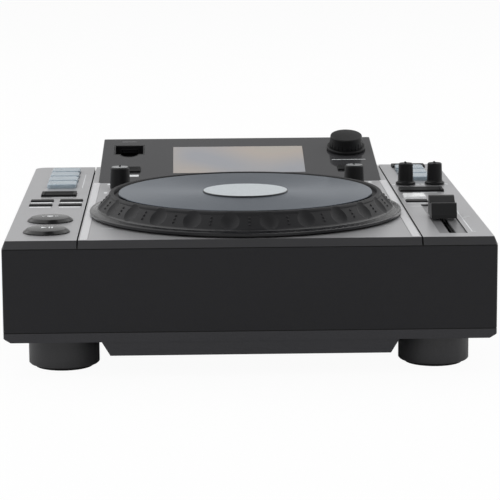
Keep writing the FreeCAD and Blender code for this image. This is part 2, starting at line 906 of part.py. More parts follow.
def jog_grip_ring():
    z = deck_z
    slope = Vector(cone_top_radius - cone_foot_radius, 0, cone_top_height - cone_foot_height)
    slope.normalize()
    outward = Vector(slope.z, 0, -slope.x)
    inner_foot = Vector(cone_foot_radius, 0, cone_foot_height) - outward * cone_wall
    inner_top = Vector(cone_top_radius, 0, cone_top_height) - outward * cone_wall
    reach = (web_low - inner_foot.z) / (inner_top.z - inner_foot.z)
    web_root = inner_foot.x + (inner_top.x - inner_foot.x) * reach
    drop = (wheel_gap - inner_foot.z) / (inner_top.z - inner_foot.z)
    skirt = inner_foot.x + (inner_top.x - inner_foot.x) * drop
    pilot = pilot_radius + running_gap
    ring = turned([
        (pilot, z + web_low), (web_root, z + web_low), (skirt, z + wheel_gap),
        (flange_radius, z + wheel_gap), (flange_radius, z + flange_top - 0.7),
        (flange_radius - 1.4, z + flange_top, flange_radius - 0.35, z + flange_top - 0.15),
        (cone_foot_radius + 2.2, z + cone_foot_height - 1.6),
        (cone_foot_radius, z + cone_foot_height, cone_foot_radius + 0.9,
         z + cone_foot_height - 0.95),
        (cone_top_radius, z + cone_top_height),
        (crest_radius, z + crest_height, cone_top_radius - 0.85, z + crest_height - 0.35),
        (ring_bore + 0.6, z + crest_height - 0.3, ring_bore + 1.0, z + crest_height - 0.06),
        (ring_bore, z + web_top), (pilot, z + web_top),
    ], 0, wheel_y)
    middle = Vector((cone_foot_radius + cone_top_radius) / 2, 0,
                    (cone_foot_height + cone_top_height) / 2)
    middle += outward * (dimple_radius - dimple_depth)
    ball = Part.makeSphere(dimple_radius, Vector(middle.x, wheel_y, z + middle.z))
    balls = repeated(ball, around(0, wheel_y, dimples, 360.0 / dimples / 2))
    rib = box(spindle_flange + 2.0, web_root - 1.0, wheel_y - web_rib_thick / 2,
              wheel_y + web_rib_thick / 2, z + web_low - web_rib_height, z + web_low + 0.5)
    ribs = repeated(rib, around(0, wheel_y, web_ribs))
    hoop = turned([
        (spindle_flange + 1.0, z + web_low - web_rib_height),
        (spindle_flange + 3.0, z + web_low - web_rib_height),
        (spindle_flange + 3.0, z + web_low + 0.5), (spindle_flange + 1.0, z + web_low + 0.5),
    ], 0, wheel_y)
    return without(fused(ring, hoop, *ribs), *balls)


def jog_platter():
    z = deck_z
    hole = label_radius + label_gap
    return turned([
        (hole, z + web_top), (platter_radius, z + web_top), (platter_radius, z + platter_top - 0.4),
        (platter_radius - 0.4, z + platter_top), (hole, z + platter_top),
    ], 0, wheel_y)


def jog_label_disc():
    z = deck_z
    top = z + platter_top + label_proud
    return turned([
        (0.0, z + web_top), (label_radius, z + web_top), (label_radius, top - 0.4),
        (label_radius - 0.4, top), (0.0, top),
    ], 0, wheel_y)


def bearing_top():
    return deck_z + housing_proud


def bearing_bottom():
    return bearing_top() - 2 * bearing_width - bearing_spread


def jog_bearings():
    """Two ball bearings, each one ring with its shields sunk between the races."""
    bore, outer = bearing_bore / 2, bearing_outer / 2
    race = 2.0
    sink = 0.5
    solids = []
    for low in (bearing_bottom(), bearing_top() - bearing_width):
        high = low + bearing_width
        solids.append(turned([
            (bore, low), (bore + race, low), (bore + race, low + sink),
            (outer - race, low + sink), (outer - race, low), (outer, low),
            (outer, high), (outer - race, high), (outer - race, high - sink),
            (bore + race, high - sink), (bore + race, high), (bore, high),
        ], 0, wheel_y))
    return Part.makeCompound(solids)


def disc_top():
    return bearing_bottom() - 2.0


def jog_bearing_housing():
    seat = bearing_outer / 2 + bearing_gap
    outside = bearing_outer / 2 + housing_wall
    step = bearing_outer / 2 - 1.5
    low, high = bearing_bottom(), bearing_top()
    body = turned([
        (seat, low), (outside, low), (outside, plate_z - housing_flange_thick),
        (housing_flange, plate_z - housing_flange_thick), (housing_flange, plate_z),
        (outside, plate_z), (outside, high), (seat, high),
        (seat, high - bearing_width), (step, high - bearing_width),
        (step, low + bearing_width), (seat, low + bearing_width),
    ], 0, wheel_y)
    arm_out = housing_flange - 0.5
    arm_in = disc_radius + 2.0
    z_disc = disc_top()
    half_width = sensor_width / 2
    column = box(-half_width, half_width, wheel_y + arm_in, wheel_y + arm_out,
                 z_disc - disc_thick - sensor_gap / 2 - 2.0, plate_z - housing_flange_thick + 0.5)
    prongs = []
    for z0 in (z_disc + sensor_gap / 2 - disc_thick / 2,
               z_disc - disc_thick / 2 - sensor_gap / 2 - 2.0):
        prongs.append(box(-half_width, half_width, wheel_y + disc_radius - sensor_reach,
                          wheel_y + arm_in + 0.5, z0, z0 + 2.0))
    return fused(body, column, *prongs)


def jog_spindle():
    shaft = bearing_bore / 2 - bearing_gap
    low = disc_top() - disc_hub_height
    flange_low = deck_z + web_low - spindle_flange_thick
    return turned([
        (0.0, low), (shaft, low), (shaft, bearing_top() + 0.1),
        (spindle_shoulder, bearing_top() + 0.1), (spindle_shoulder, flange_low),
        (spindle_flange, flange_low), (spindle_flange, deck_z + web_low),
        (pilot_radius, deck_z + web_low), (pilot_radius, deck_z + web_top), (0.0, deck_z + web_top),
    ], 0, wheel_y)


def jog_encoder_disc():
    bore = bearing_bore / 2
    high = disc_top()
    low = high - disc_thick
    solid = turned([
        (bore, high - disc_hub_height + 0.5), (disc_hub_radius, high - disc_hub_height + 0.5),
        (disc_hub_radius, low), (disc_radius, low), (disc_radius, high),
        (disc_hub_radius, high), (disc_hub_radius, high + 0.8), (bore, high + 0.8),
    ], 0, wheel_y)
    slot = box(disc_radius - 4.0, disc_radius - 1.0, wheel_y - 0.6, wheel_y + 0.6,
               low - 1, high + 1)
    return without(solid, *repeated(slot, around(0, wheel_y, disc_slots)))


# Keys, pads and buttons


def key_body(key, top, base, corner):
    """A key's cap and the flange that holds it under the cover. base is the underside of the cover."""
    cap = rounded_block(key.left, key.right, key.front, key.rear, base - key_flange_thick,
                        top, corner)
    reach = key_step
    flange = rounded_block(key.left - reach, key.right + reach, key.front - reach,
                           key.rear + reach, base - fit_gap / 2 - key_flange_thick,
                           base - fit_gap / 2, corner + reach)
    return cap, flange


def placed_key(key):
    return Key(key.left, key.right, front + key.front, front + key.rear)


def pad(key):
    place = placed_key(key)
    top = deck_z + pad_proud
    cap, flange = key_body(place, top, plate_z, pad_corner)
    cap = cap.makeFillet(pad_round, edges_at(cap, top))
    return fused(cap, flange)


def flat_key(key, proud, base=plate_z, top_base=deck_z):
    top = top_base + proud
    cap, flange = key_body(key, top, base, key_corner)
    cap = cap.makeChamfer(key_chamfer, edges_at(cap, top))
    return fused(cap, flange)


def dished_key(key, proud, base=plate_z, top_base=deck_z):
    """A wide key with a rim along its rear edge and ends, and a finger dish inside them."""
    solid = flat_key(key, proud, base, top_base)
    top = top_base + proud
    middle = (key.front + key.rear - dish_rim) / 2
    reach = (key.rear - key.front - dish_rim) / 2
    sink = dish_radius - math.sqrt(dish_radius ** 2 - reach ** 2)
    scoop = Part.makeCylinder(
        dish_radius, key.right - key.left - 2 * dish_rim,
        Vector(key.left + dish_rim, middle, top + dish_radius - sink), Vector(1, 0, 0))
    return without(solid, scoop)


def round_button(d):
    y = front + d
    low = plate_z - fit_gap / 2 - key_flange_thick
    rise = deck_z + button_height
    return turned([
        (0.0, low), (button_radius + key_step, low),
        (button_radius + key_step, plate_z - fit_gap / 2),
        (button_radius, plate_z - fit_gap / 2),
        (button_radius, deck_z + button_step),
        (button_top_radius, rise - 0.3),
        (button_top_radius - 0.5, rise),
        dome_step(button_top_radius - 0.5, rise, button_dome),
    ], button_x, y)


def switch(x, y, board_top, key_base, travel):
    """A switch on a board, whose top lies just under the key at the end of its travel."""
    top = key_base - fit_gap / 2 - key_flange_thick - travel - 0.1
    return box(x - switch_side / 2, x + switch_side / 2, y - switch_side / 2,
               y + switch_side / 2, board_top - 0.2, top)


def key_switches(keys, travel):
    found = []
    for key in keys:
        y = front + (key.front + key.rear) / 2
        wide = key.right - key.left > 22.0
        middle = (key.left + key.right) / 2
        spread = (key.right - key.left) / 4
        for x in ((middle - spread, middle + spread) if wide else (middle,)):
            found.append(switch(x, y, board_z, plate_z, travel))
    return found


def button_boards():
    left = box(-half + wall + 3.0, -groove_at - rail_width / 2 - 2.5, front + 12.0,
               rear - 9.0, board_z - board_thick, board_z)
    left_parts = key_switches(pads_left, pad_travel) + key_switches(
        small_keys + [left_wide], key_travel)
    left_parts += [switch(button_x, front + d, board_z, plate_z, button_travel)
                   for d in (cue_from_front, play_from_front)]
    right = box(groove_at + rail_width / 2 + 2.5, half - wall - 3.0, front + fader_plate_rear + 7.0,
                rear - 9.0, board_z - board_thick, board_z)
    right_parts = key_switches(pads_right, pad_travel) + key_switches(
        [right_rear, right_wide, right_white, right_small], key_travel)
    hood_level = -hood_board_depth()
    solids = [fused(left, *left_parts), fused(right, *right_parts)]
    for key, x0, x1, y1 in ((hood_left, -97.0, -63.0, 46.0), (hood_right, 63.0, 97.0, 73.0)):
        board = box(x0, x1, 13.0, y1, hood_level - board_thick, hood_level)
        middle = (key.left + key.right) / 2
        button = switch(middle, (key.front + key.rear) / 2, hood_level, -wall, key_travel)
        solids.append(on_hood(fused(board, button)))
    return Part.makeCompound(solids)


# The pitch fader


def slot_block(wide, y0, y1, z0, z1):
    return rounded_block(fader_x - wide / 2, fader_x + wide / 2, y0, y1, z0, z1, wide / 2 - 0.05)


def fader_slot():
    return (front + fader_plate_front + fader_slot_margin,
            front + fader_plate_rear - fader_slot_margin + 1.0)


def fader_plate():
    top = deck_z - fader_recess
    low = top - fader_plate_thick
    edge = fader_plate_half - fit_gap
    plate = box(fader_x - edge, fader_x + edge, front + fader_plate_front + fit_gap,
                front + fader_plate_rear - fit_gap, low, top)
    y0, y1 = fader_slot()
    return without(plate, slot_block(fader_slot_width, y0, y1, low - 1, top + 1))


def fader_body_top():
    return plate_z - 0.3


def fader_module():
    y0 = front + fader_plate_front + fader_ledge + 0.3
    y1 = front + fader_plate_rear - fader_ledge - 0.3
    top = fader_body_top()
    low = top - fader_body_height
    thin = fader_body_wall
    can = box(fader_x - fader_body_half, fader_x + fader_body_half, y0, y1, low, top)
    room = box(fader_x - fader_body_half + thin, fader_x + fader_body_half - thin, y0 + thin,
               y1 - thin, low + thin, top - thin)
    gap = box(fader_x - fader_stem_width / 2 - 0.6, fader_x + fader_stem_width / 2 + 0.6,
              y0 + thin, y1 - thin, top - thin - 1, top + 1)
    seat = deck_z - fader_recess - fader_plate_thick
    tabs = [box(fader_x - fader_body_half, fader_x + fader_body_half, y, y + 0.8, top - 0.5, seat)
            for y in (y0, y1 - 0.8)]
    return fused(without(can, room, gap), *tabs)


def fader_cap():
    y = front + fader_at - fader_cap_length / 2
    low = deck_z + fader_cap_lift
    run = fader_cap_length
    profile = [
        (y, low), (y + 0.3, low + 2.2), (y + 3.0, deck_z + fader_cap_low - 0.6),
        (y + 3.8, deck_z + fader_cap_low), (y + 6.0, deck_z + fader_cap_low),
        (y + 0.42 * run, deck_z + fader_cap_valley), (y + 0.5 * run, deck_z + fader_cap_valley),
        (y + 0.76 * run, deck_z + fader_cap_high - 0.4), (y + 0.8 * run, deck_z + fader_cap_high),
        (y + run - 1.8, deck_z + fader_cap_high), (y + run - 1.2, deck_z + fader_cap_high - 0.6),
        (y + run, low),
    ]
    cap = extruded_x(profile, fader_x - fader_cap_half, fader_x + fader_cap_half)
    thin = fader_cap_wall
    hollow = box(fader_x - fader_cap_half + thin, fader_x + fader_cap_half - thin, y + 3.5 + thin,
                 y + run - thin - 1.5, low - 1, deck_z + fader_cap_valley - thin)
    middle = front + fader_at
    shoe_top = fader_body_top() - fader_body_wall - 0.6
    stem = box(fader_x - fader_stem_width / 2, fader_x + fader_stem_width / 2,
               middle - fader_stem_length / 2, middle + fader_stem_length / 2,
               shoe_top - 0.5, deck_z + fader_cap_valley - thin + 0.5)
    shoe = box(fader_x - fader_shoe_half, fader_x + fader_shoe_half,
               middle - fader_shoe_length / 2, middle + fader_shoe_length / 2,
               shoe_top - fader_shoe_height, shoe_top)
    return fused(without(cap, hollow), stem, shoe)


# The rear panel and its connectors, which open to the rear


def rear_panel():
    plate = box(-panel_half, panel_half, panel_y - panel_thick, panel_y, panel_bottom, panel_top)
    y0, y1 = panel_y - panel_thick - 1, panel_y + 1
    gap = 2 * fit_gap
    holes = [block_y(inlet_x, connector_z, inlet_width - 3.0 + gap, inlet_height - 3.0 + gap, y0, y1)]
    holes += [rod_y(x, connector_z, y0, y1, jack_radius + fit_gap) for x in audio_at]
    for x, wide, high in ports():
        holes.append(block_y(x, connector_z, wide + gap, high + gap, y0, y1))
    return without(plate, *holes)


def ports():
    return ((square_port_x, square_port_width, square_port_height),
            (link_port_x, link_port_width, link_port_height))


def power_inlet():
    """A mains inlet and a switch well in one moulded body."""
    y_face = panel_y + inlet_flange_thick
    body = block_y(inlet_x, connector_z, inlet_width - 3.0, inlet_height - 3.0,
                   panel_y - inlet_depth, panel_y + 0.5)
    flange = block_y(inlet_x, connector_z, inlet_width, inlet_height, panel_y, y_face)
    x, z = inlet_x + mains_x, connector_z
    wide, high = mains_width / 2, mains_height / 2
    cut = 4.0
    mouth = extruded_y([
        (x - wide, z - high), (x + wide, z - high), (x + wide, z + high - cut),
        (x + wide - cut, z + high), (x - wide + cut, z + high), (x - wide, z + high - cut),
    ], y_face - mains_depth, y_face + 1)
    well_x = inlet_x + rocker_x
    well = block_y(well_x, connector_z, rocker_width + rocker_well_gap,
                   rocker_length + 2 * rocker_well_gap, y_face - rocker_well_depth, y_face + 1)
    pivot = Part.makeCylinder(rocker_pin + running_gap, rocker_width + 3.6,
                              Vector(well_x - rocker_width / 2 - 1.8, rocker_axis_y(), connector_z),
                              Vector(1, 0, 0))
    pins = [block_y(x + dx, z + dz, 2.0, 4.0, y_face - mains_depth - 1, y_face - 3.0)
            for dx, dz in ((-7.0, -1.5), (7.0, -1.5), (0.0, 2.0))]
    return fused(without(fused(body, flange), mouth, well, pivot), *pins)


def rocker_axis_y():
    return panel_y + inlet_flange_thick - 4.0


def power_rocker():
    """The rocker turns on a cross pin. Its outer face is a shallow valley."""
    y, z = rocker_axis_y(), connector_z
    x = inlet_x + rocker_x
    reach = rocker_length / 2
    profile = [
        (y - 2.6, z), (y - 1.0, z - reach + 1.6), (y + 3.4, z - reach), (y + 5.0, z - reach + 0.4),
        (y + 3.6, z), (y + 5.0, z + reach - 0.4), (y + 3.4, z + reach), (y - 1.0, z + reach - 1.6),
    ]
    body = extruded_x(profile, x - rocker_width / 2, x + rocker_width / 2)
    pin = Part.makeCylinder(rocker_pin, rocker_width + 2.4,
                            Vector(x - rocker_width / 2 - 1.2, y, z), Vector(1, 0, 0))
    return fused(body, pin)


def audio_sockets():
    solids = []
    for x in audio_at:
        block = block_y(x, connector_z, jack_block, jack_block, panel_y - panel_thick
                        - jack_block_depth, panel_y - panel_thick)
        tip = rear + jack_reach
        barrel = rod_y(x, connector_z, panel_y - panel_thick - 1.0, tip, jack_radius)
        collar = rod_y(x, connector_z, panel_y, panel_y + 1.5, jack_radius + 1.3)
        bore = rod_y(x, connector_z, tip - jack_bore_depth, tip + 1, jack_bore)
        solids.append(without(fused(block, barrel, collar), bore))
    return Part.makeCompound(solids)


def data_sockets():
    solids = []
    tip = panel_y + 0.8
    for x, wide, high in ports():
        shell = block_y(x, connector_z, wide, high, tip - port_depth, tip)
        mouth = block_y(x, connector_z, wide - 2 * port_wall, high - 2 * port_wall,
                        tip - port_depth + 3.0, tip + 1)
        tongue = block_y(x, connector_z + 1.0, wide - 2 * port_wall - 2.4, 2.0,
                         tip - port_depth + 1.0, tip - 2.0)
        solids.append(fused(without(shell, mouth), tongue))
    return Part.makeCompound(solids)


# Boards, feet and screws


def main_board():
    low = tub_z + wall + standoff_height
    top = low + board_thick
    y0, y1 = front + board_front, front + board_rear
    board = box(-board_half, board_half, y0, y1, low, top)
    chips = [box(x, x + wide, y0 + d, y0 + d + deep, top - 0.2, top + high)
             for x, d, wide, deep, high in (
                 (-20.0, 60.0, 28.0, 28.0, 2.4), (22.0, 66.0, 14.0, 18.0, 1.4),
                 (-60.0, 30.0, 20.0, 14.0, 1.6), (30.0, 110.0, 24.0, 12.0, 1.6),
                 (-70.0, 140.0, 30.0, 6.0, 7.0), (20.0, 150.0, 36.0, 6.0, 7.0))]
    cans = [rod(x, y0 + d, top - 0.2, top + 9.0, 4.0)
            for x, d in ((60.0, 30.0), (60.0, 42.0), (60.0, 54.0), (-66.0, 90.0))]
    return fused(board, *chips, *cans)


def power_supply():
    low = tub_z + wall + standoff_height
    top = low + board_thick
    y0, y1 = front + supply_front, front + supply_rear
    board = box(supply_left, supply_right, y0, y1, low, top)
    core = box(supply_left + 36.0, supply_left + 66.0, y0 + 22.0, y0 + 54.0, top - 0.2, top + 18.0)
    sink = box(supply_left + 14.0, supply_left + 17.0, y0 + 14.0, y1 - 14.0, top - 0.2, top + 22.0)
    cans = [rod(supply_left + x, y0 + d, top - 0.2, top + 20.0, 6.5)
            for x, d in ((80.0, 24.0), (80.0, 42.0), (28.0, 20.0))]
    return fused(board, core, sink, *cans)


def foot_bodies():
    solids = []
    low = sole_show
    for x, y in foot_places():
        foot = turned([
            (0.0, low), (foot_radius - foot_chamfer, low), (foot_radius, low + foot_chamfer),
            (foot_radius, pan_z), (0.0, pan_z),
        ], x, y)
        seat = rod(x, y, low - 1, low + sole_seat, sole_radius + fit_gap)
        pocket = rod(x, y, low, pan_z - foot_screw_pocket, screw_head + 2 * fit_gap + 0.8)
        hole = rod(x, y, low, pan_z + 1, screw_radius + fit_gap)
        solids.append(without(foot, seat, pocket, hole))
    return Part.makeCompound(solids)


def foot_soles():
    return Part.makeCompound([
        turned([(0.0, 0.0), (sole_radius - 0.4, 0.0), (sole_radius, 0.4),
                (sole_radius, sole_show + sole_seat), (0.0, sole_show + sole_seat)], x, y)
        for x, y in foot_places()])


def screw(x, y, seat, reach):
    """A screw whose head hangs below its seat and whose shank runs up."""
    head = rod(x, y, seat - screw_head_height, seat, screw_head)
    shank = rod(x, y, seat - 0.5, seat + reach, screw_radius)
    return fused(head, shank)


def case_screws():
    solids = [screw(x, y, pan_z, screw_reach) for x, y in screw_places()]
    solids += [screw(x, y, pan_z - foot_screw_pocket, foot_screw_pocket + foot_boss_height - 3.0)
               for x, y in foot_places()]
    return Part.makeCompound(solids)


def hood_piece(key):
    return on_hood(dished_key(key, small_key_proud + 0.3, -wall, 0.0))


def nodes():
    """Every named piece of the object, with the function or shape that makes it."""
    yield "bottom_pan", bottom_pan()
    yield "body_shell", body_shell()
    yield "centre_deck", centre_deck()
    yield "left_control_panel", left_control_panel()
    yield "right_control_panel", right_control_panel()
    yield "deck_trim_strips", deck_trim_strips()
    yield "display_hood", display_hood()
    yield "display_glass", display_glass()
    yield "display_module", display_module()
    yield "usb_bezel", usb_bezel()
    yield "usb_socket", usb_socket()
    yield "browse_encoder", browse_encoder()
    yield "browse_plunger", browse_plunger()
    yield "browse_knob", browse_knob()
    yield "knob_potentiometers", knob_potentiometers()
    yield "deck_knob_left", deck_knob(deck_knob_left_x)
    yield "deck_knob_right", deck_knob(deck_knob_right_x)
    yield "start_knob", small_knob(start_knob_x)
    yield "stop_knob", small_knob(stop_knob_x)
    yield "jog_grip_ring", jog_grip_ring()
    yield "jog_platter", jog_platter()
    yield "jog_label_disc", jog_label_disc()
    yield "jog_spindle", jog_spindle()
    yield "jog_encoder_disc", jog_encoder_disc()
    yield "jog_bearings", jog_bearings()
    yield "jog_bearing_housing", jog_bearing_housing()
    for i, key in enumerate(pads_left):
        yield f"left_pad_{i + 1}", pad(key)
    for i, key in enumerate(pads_right):
        yield f"right_pad_{i + 1}", pad(key)
    for i, key in enumerate(small_keys):
        yield f"small_key_{i + 1}", flat_key(placed_key(key), small_key_proud)
    yield "left_wide_key", dished_key(placed_key(left_wide), long_key_proud)
    yield "right_rear_key", dished_key(placed_key(right_rear), long_key_proud)
    yield "right_wide_key", dished_key(placed_key(right_wide), long_key_proud)
    yield "right_white_key", flat_key(placed_key(right_white), white_key_proud)
    yield "right_small_key", flat_key(placed_key(right_small), small_key_proud)
    yield "hood_key_left", hood_piece(hood_left)
    yield "hood_key_right", hood_piece(hood_right)
    yield "cue_button", round_button(cue_from_front)
    yield "play_button", round_button(play_from_front)
    yield "button_boards", button_boards()
    yield "fader_plate", fader_plate()
    yield "fader_module", fader_module()
    yield "fader_cap", fader_cap()
    yield "rear_panel", rear_panel()
    yield "power_inlet", power_inlet()
    yield "power_rocker", power_rocker()
    yield "audio_sockets", audio_sockets()
    yield "data_sockets", data_sockets()
    yield "main_board", main_board()
    yield "power_supply", power_supply()
    yield "foot_bodies", foot_bodies()
    yield "foot_soles", foot_soles()
    yield "case_screws", case_screws()


os.makedirs("parts", exist_ok=True)
for name, shape in nodes():
    assert shape.isValid(), f"{name} isn't a valid solid"
    shape.exportStep(f"parts/{name}.step")
    bounds = shape.BoundBox
    print(f"{name}: {len(shape.Solids)} solid(s), {bounds.XLength:.1f} x {bounds.YLength:.1f} x "
          f"{bounds.ZLength:.1f}, from z {bounds.ZMin:.2f}")
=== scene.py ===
# %% [markdown]
# A tabletop player for DJs: a wedge hood with a colour window, a big jog wheel with a dimpled grip ring,
# and a strip of keys, pads and knobs on each side. The solids come packed as a fixed frame. This lesson
# gives them their finishes, adds the small print and trim, and sets up a plain studio round them.

# %% Load the frame
import math
import bmesh
import bpy
from mathutils import Matrix, Vector


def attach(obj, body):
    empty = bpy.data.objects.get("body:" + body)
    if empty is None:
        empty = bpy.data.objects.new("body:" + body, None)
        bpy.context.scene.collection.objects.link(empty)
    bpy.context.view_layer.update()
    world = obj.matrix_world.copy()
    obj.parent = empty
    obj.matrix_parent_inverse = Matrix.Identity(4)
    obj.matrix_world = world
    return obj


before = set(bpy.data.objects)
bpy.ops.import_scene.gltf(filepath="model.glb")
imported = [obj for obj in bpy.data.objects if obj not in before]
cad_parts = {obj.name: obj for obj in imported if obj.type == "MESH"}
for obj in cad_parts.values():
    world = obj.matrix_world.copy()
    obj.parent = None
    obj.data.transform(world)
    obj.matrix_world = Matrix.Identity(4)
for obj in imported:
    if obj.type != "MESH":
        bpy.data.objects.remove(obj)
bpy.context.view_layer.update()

# %% [markdown]
# The camera stands in front, a little left of the middle and only ten degrees up, with a long lens, as a
# shop photograph is taken. A long lens keeps the front edge straight. The camera is turned a little to
# the right, dips towards the deck, and hangs a third of a degree out of level, as a hand-set one does.

# %% Camera
stand = Vector((-0.04272, -1.63203, 0.34110))
turned_right = math.radians(1.6699)
dips = math.radians(10.0533)
rolls = math.radians(-0.3195)
camera_data = bpy.data.cameras.new("front_camera")
camera_data.sensor_width = 36.0
camera_data.lens = 165.47
camera = bpy.data.objects.new("front_camera", camera_data)
aim = Matrix.Rotation(-turned_right, 4, "Z") @ Matrix.Rotation(math.radians(90) - dips, 4, "X")
camera.matrix_world = Matrix.Translation(stand) @ aim @ Matrix.Rotation(rolls, 4, "Z")
bpy.context.collection.objects.link(camera)
bpy.context.scene.camera = camera
bpy.context.scene.view_settings.view_transform = "Standard"
print("camera height:", round(stand.z, 3))

# %% [markdown]
# Satin metal shows its surroundings more than its own colour. So the studio is bright low down, where the
# backdrop stands, and dimmer overhead. Camera rays see plain white, and glossy rays see the soft rise.

# %% World
world = bpy.data.worlds.new("studio")
bpy.context.scene.world = world
world.use_nodes = True
net = world.node_tree
net.nodes.clear()


def add(net, kind, **values):
    """A node of a tree, with its properties and the starting values of its inputs."""
    node = net.nodes.new(kind)
    for key, value in values.items():
        if key.startswith("in_"):
            title = key[3:]
            node.inputs[int(title) if title.isdigit() else title].default_value = value
        else:
            setattr(node, key, value)
    return node


place = add(net, "ShaderNodeTexCoord")
split = add(net, "ShaderNodeSeparateXYZ")
rise = add(net, "ShaderNodeMapRange", in_1=0.05, in_2=0.75, in_3=0.95, in_4=0.3)
path = add(net, "ShaderNodeLightPath")
level = add(net, "ShaderNodeMix", data_type="FLOAT", in_3=1.0)
sky = add(net, "ShaderNodeBackground")
out = add(net, "ShaderNodeOutputWorld")
net.links.new(place.outputs["Generated"], split.inputs[0])
net.links.new(split.outputs["Z"], rise.inputs["Value"])
net.links.new(path.outputs["Is Camera Ray"], level.inputs[0])
net.links.new(rise.outputs["Result"], level.inputs[2])
net.links.new(level.outputs[0], sky.inputs["Strength"])
net.links.new(sky.outputs[0], out.inputs["Surface"])


# %% [markdown]
# Two very large soft lamps hang over the left and the right, and a small one fills the front. Their size
# matters more than their power: a small lamp would be mirrored in the satin deck as a burnt white patch.
# The camera doesn't see them.


# %% Lamps
def lamp(name, at, aim, wide, high, power):
    """A soft box at a place, turned to a point, with its size in metres and its power in watts."""
    data = bpy.data.lights.new(name, "AREA")
    data.shape = "RECTANGLE"
    data.size = wide
    data.size_y = high
    data.energy = power
    item = bpy.data.objects.new(name, data)
    item.location = at
    item.rotation_euler = (Vector(aim) - Vector(at)).to_track_quat("-Z", "Y").to_euler()
    item.visible_camera = False
    bpy.context.collection.objects.link(item)


lamp("key_left", (-1.3, 0.35, 1.5), (0, 0, 0.08), 3.2, 2.6, 33.0)
lamp("key_right", (1.4, 0.55, 1.4), (0, 0, 0.08), 3.2, 2.6, 27.0)
lamp("front_fill", (-0.6, -2.2, 1.3), (0, 0, 0.05), 1.6, 0.9, 6.0)
print("lamps:", len(bpy.data.lights))

# %% [markdown]
# The floor is a wide pale sheet. For the camera it is mostly its own white, and partly lit, so the feet
# still leave a soft shadow on it.

# %% Floor
floor_mesh = bpy.data.meshes.new("floor")
reach = 20.0
floor_mesh.from_pydata([(-reach, -reach, 0), (reach, -reach, 0), (reach, reach, 0), (-reach, reach, 0)],
                       [], [(0, 1, 2, 3)])
floor = bpy.data.objects.new("floor", floor_mesh)
bpy.context.collection.objects.link(floor)
paper = bpy.data.materials.new("studio_paper")
paper.use_nodes = True
net = paper.node_tree
lit = net.nodes["Principled BSDF"]
lit.inputs["Base Color"].default_value = (0.9, 0.9, 0.9, 1)
lit.inputs["Roughness"].default_value = 0.9
glow = add(net, "ShaderNodeEmission", in_Strength=1.0)
share = add(net, "ShaderNodeMath", operation="MULTIPLY", in_1=0.95)
path = add(net, "ShaderNodeLightPath")
blend = add(net, "ShaderNodeMixShader")
net.links.new(path.outputs["Is Camera Ray"], share.inputs[0])
net.links.new(share.outputs[0], blend.inputs[0])
net.links.new(lit.outputs[0], blend.inputs[1])
net.links.new(glow.outputs[0], blend.inputs[2])
net.links.new(blend.outputs[0], net.nodes["Material Output"].inputs["Surface"])
floor_mesh.materials.append(paper)

# %% [markdown]
# Every moulded or painted face here has the same three signs of being real: a fine grain, slow patches
# where hands have made it shinier, and paler edges where paint has thinned. One shader group makes all
# three, and each material places it with its own values. A bevel node finds the edges, because it bends
# the normal only near them.


# %% Shader group for handled surfaces
def rgb(code):
    """The linear colour of a hex code as it is seen on a screen."""
    parts = [int(code[i:i + 2], 16) / 255 for i in (0, 2, 4)]
    return tuple([c / 12.92 if c <= 0.04045 else ((c + 0.055) / 1.055) ** 2.4 for c in parts] + [1.0])


def group(name, inputs, outputs):
    """An empty shader group with named sockets, with its input and output nodes."""
    tree = bpy.data.node_groups.new(name, "ShaderNodeTree")
    for title, kind, value in inputs:
        socket = tree.interface.new_socket(title, in_out="INPUT", socket_type=kind)
        if value is not None:
            socket.default_value = value
    for title, kind in outputs:
        tree.interface.new_socket(title, in_out="OUTPUT", socket_type=kind)
    return tree, add(tree, "NodeGroupInput"), add(tree, "NodeGroupOutput")


handled, into, outof = group(
    "handled_surface",
    [("Vector", "NodeSocketVector", None), ("Colour", "NodeSocketColor", (0.1, 0.1, 0.1, 1)),
     ("Worn", "NodeSocketColor", (0.4, 0.4, 0.4, 1)), ("Rough", "NodeSocketFloat", 0.4),
     ("Smudge", "NodeSocketFloat", 0.1), ("Grain", "NodeSocketFloat", 900.0),
     ("Wear", "NodeSocketFloat", 0.3)],
    [("Colour", "NodeSocketColor"), ("Rough", "NodeSocketFloat"), ("Height", "NodeSocketFloat")])
link = handled.links.new
fine = add(handled, "ShaderNodeTexNoise", in_Detail=3.0)
slow = add(handled, "ShaderNodeTexNoise", in_Scale=21.0, in_Detail=4.0, in_Roughness=0.6)
shade = add(handled, "ShaderNodeMapRange", in_1=0.3, in_2=0.7, in_3=0.9, in_4=1.1)
tint = add(handled, "ShaderNodeVectorMath", operation="SCALE")
edge = add(handled, "ShaderNodeBevel", samples=4, in_Radius=0.0007)
plain = add(handled, "ShaderNodeNewGeometry")
agree = add(handled, "ShaderNodeVectorMath", operation="DOT_PRODUCT")
near_edge = add(handled, "ShaderNodeMapRange", in_1=0.995, in_2=0.86)
patchy = add(handled, "ShaderNodeMath", operation="MULTIPLY")
worn = add(handled, "ShaderNodeMath", operation="MULTIPLY")
paint = add(handled, "ShaderNodeMix", data_type="RGBA")
centred = add(handled, "ShaderNodeMath", operation="SUBTRACT", in_1=0.5)
swing = add(handled, "ShaderNodeMath", operation="MULTIPLY_ADD")
link(into.outputs["Vector"], fine.inputs["Vector"])
link(into.outputs["Grain"], fine.inputs["Scale"])
link(into.outputs["Vector"], slow.inputs["Vector"])
link(fine.outputs[0], shade.inputs[0])
link(into.outputs["Colour"], tint.inputs[0])
link(shade.outputs[0], tint.inputs["Scale"])
link(edge.outputs[0], agree.inputs[0])
link(plain.outputs["Normal"], agree.inputs[1])
link(agree.outputs["Value"], near_edge.inputs[0])
link(near_edge.outputs[0], patchy.inputs[0])
link(slow.outputs[0], patchy.inputs[1])
link(patchy.outputs[0], worn.inputs[0])
link(into.outputs["Wear"], worn.inputs[1])
link(worn.outputs[0], paint.inputs[0])
link(tint.outputs[0], paint.inputs[6])
